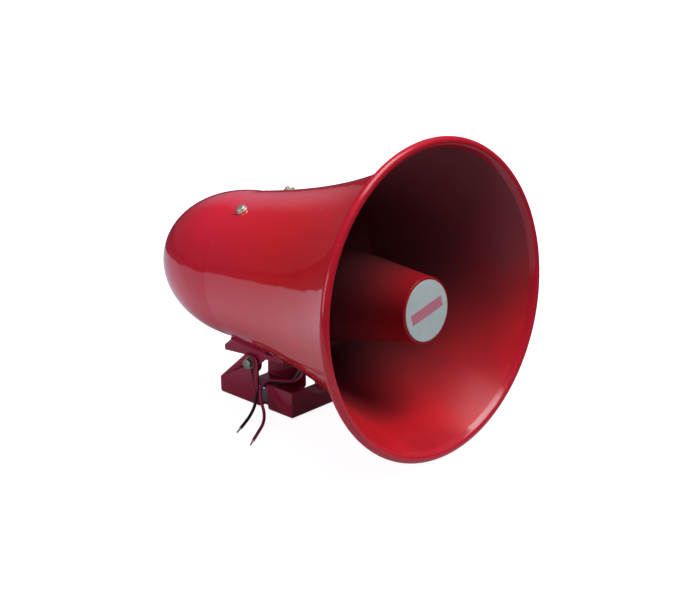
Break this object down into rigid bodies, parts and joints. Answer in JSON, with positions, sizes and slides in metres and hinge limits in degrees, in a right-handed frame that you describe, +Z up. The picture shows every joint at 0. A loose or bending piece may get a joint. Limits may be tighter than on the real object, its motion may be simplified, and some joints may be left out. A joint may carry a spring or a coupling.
{
  "type": "electronic siren",
  "caption": "Red horn siren with a rolled-rim bell, a rear dome, a central reflector cone and a tilting foot bracket.",
  "frame": {"origin": "middle of the foot's two slots, on the foot's underside", "axes": "+Z up out of the foot's base, +X along the horn towards its mouth"},
  "size_m": [0.2985, 0.245, 0.2475],
  "materials": {
    "red_enamel": "gloss baked enamel",
    "bracket_enamel": "gloss enamel, thinner at the folds",
    "disc_plate": "satin, plain",
    "zinc_steel": "bright zinc plate",
    "painted_bolt": "gloss enamel over the fastener",
    "black_rubber": "matte",
    "tube_plastic": "matte",
    "plated_steel": "dull zinc plate",
    "cast_alloy": "as cast",
    "phenolic_film": "pressed and stiff",
    "copper_wire": "enamelled copper",
    "ferrite": "ground and dark",
    "board_laminate": "solder mask",
    "core_steel": "stacked sheet",
    "capacitor_sleeve": "shrunk sleeve",
    "sink_aluminium": "anodised",
    "chip_plastic": "moulded",
    "terminal_plastic": "moulded",
    "black_insulation": "satin",
    "red_insulation": "satin",
    "tinned_copper": "tinned strands"
  },
  "bodies": {
    "foot": {"foot": "bracket_enamel", "pivot_bolt": "painted_bolt", "pivot_washers": "painted_bolt", "pivot_spring_washer": "zinc_steel", "pivot_nut": "zinc_steel"},
    "horn": {"bell": "red_enamel", "rear_dome": "red_enamel", "dome_seal": "black_rubber", "reflector_cone": "red_enamel", "front_disc": "disc_plate", "throat_tube": "tube_plastic", "back_plate": "red_enamel", "cone_posts": "red_enamel", "cone_screws": "zinc_steel", "driver_flange": "cast_alloy", "diaphragm": "phenolic_film", "voice_coil": "copper_wire", "top_plate": "plated_steel", "magnet": "ferrite", "yoke": "plated_steel", "driver_screws": "zinc_steel", "circuit_board": "board_laminate", "board_posts": "plated_steel", "board_screws": "zinc_steel", "transformer_core": "core_steel", "winding": "copper_wire", "capacitors": "capacitor_sleeve", "heat_sink": "sink_aluminium", "power_transistor": "chip_plastic", "terminal_block": "terminal_plastic", "collar_washers": "zinc_steel", "collar_screws": "zinc_steel", "collar_nuts": "zinc_steel", "saddle": "bracket_enamel", "saddle_screws": "painted_bolt", "saddle_nuts": "zinc_steel", "cable_grommet": "black_rubber", "wire_black": "black_insulation", "wire_black_tip": "tinned_copper", "wire_red": "red_insulation", "wire_red_tip": "tinned_copper"}
  },
  "joints": [
    {"name": "horn_tilt", "type": "hinge", "parent": "foot", "child": "horn", "pos_m": [-0.006, 0, 0.0365], "axis": [0, -1, 0], "range_deg": [0, 35]}
  ]
}
